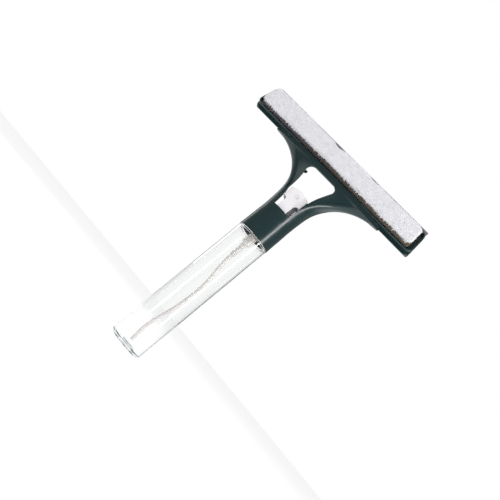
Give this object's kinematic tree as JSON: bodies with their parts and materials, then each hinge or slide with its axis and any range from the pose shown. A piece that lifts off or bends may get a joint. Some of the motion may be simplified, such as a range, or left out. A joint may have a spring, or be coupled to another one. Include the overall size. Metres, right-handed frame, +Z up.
{
  "type": "window cleaning squeegee",
  "caption": "Spray window squeegee: T-shaped head with a wiping pad and a rubber blade, a finger pump in the head and a clear bottle as the handle.",
  "frame": {"origin": "centre of the bottle's foot, on the surface it stands on", "axes": "+Z up the handle to the head, X along the T-bar, -Y the way the pad faces"},
  "size_m": [0.2098, 0.0368, 0.2757],
  "materials": {
    "green_plastic": "moulded, satin gloss",
    "blade_rubber": "extruded, matt",
    "hook_tape": "woven hook tape",
    "loop_fabric": "brushed loop fabric",
    "pad_foam": "open-cell foam",
    "microfibre": "short dense pile",
    "clear_bottle": "blown, clear",
    "white_plastic": "moulded, satin",
    "natural_plastic": "unpigmented, milky",
    "gasket_rubber": "matt",
    "steel": "drawn"
  },
  "bodies": {
    "bottle": {"bottle": "clear_bottle"},
    "gasket": {"neck_gasket": "gasket_rubber"},
    "head": {"head_frame": "green_plastic", "pad_tray": "green_plastic", "wiper_blade": "blade_rubber", "hook_strips": "hook_tape", "pump_closure": "white_plastic", "pump_housing": "natural_plastic", "guide_sleeve": "white_plastic", "dip_tube": "natural_plastic", "return_spring": "steel"},
    "plunger": {"actuator": "white_plastic", "nozzle_insert": "white_plastic", "pump_stem": "white_plastic", "pump_piston": "natural_plastic"},
    "inlet_ball": {"inlet_ball": "steel"},
    "outlet_ball": {"outlet_ball": "steel"},
    "pad": {"pad_backing": "loop_fabric", "pad_foam": "pad_foam", "pad_face": "microfibre"}
  },
  "joints": [
    {"name": "head_lift", "type": "slide", "parent": "bottle", "child": "gasket", "axis": [0, 0, 1], "range_m": [0, 0.00477]},
    {"name": "head_turn", "type": "hinge", "parent": "gasket", "child": "head", "pos_m": [0, 0, 0.18], "axis": [0, 0, 1], "range_deg": [0, 540]},
    {"name": "actuator_press", "type": "slide", "parent": "head", "child": "plunger", "axis": [0, 0, -1], "range_m": [0, 0.0055], "stiffness_N_per_m": 900, "springref_m": -0.006, "deforming": ["return_spring"]},
    {"name": "inlet_ball_lift", "type": "slide", "parent": "head", "child": "inlet_ball", "axis": [0, 0, 1], "range_m": [0, 0.001]},
    {"name": "outlet_ball_lift", "type": "slide", "parent": "plunger", "child": "outlet_ball", "axis": [0, 0, 1], "range_m": [0, 0.0008]},
    {"name": "pad_peel", "type": "slide", "parent": "head", "child": "pad", "axis": [0, -0.9848, 0.1736], "range_m": [0, 0.02]}
  ],
  "couplings": [
    {"joint": "head_lift", "follows": "head_turn", "m_per_rad": 0.00050532}
  ]
}
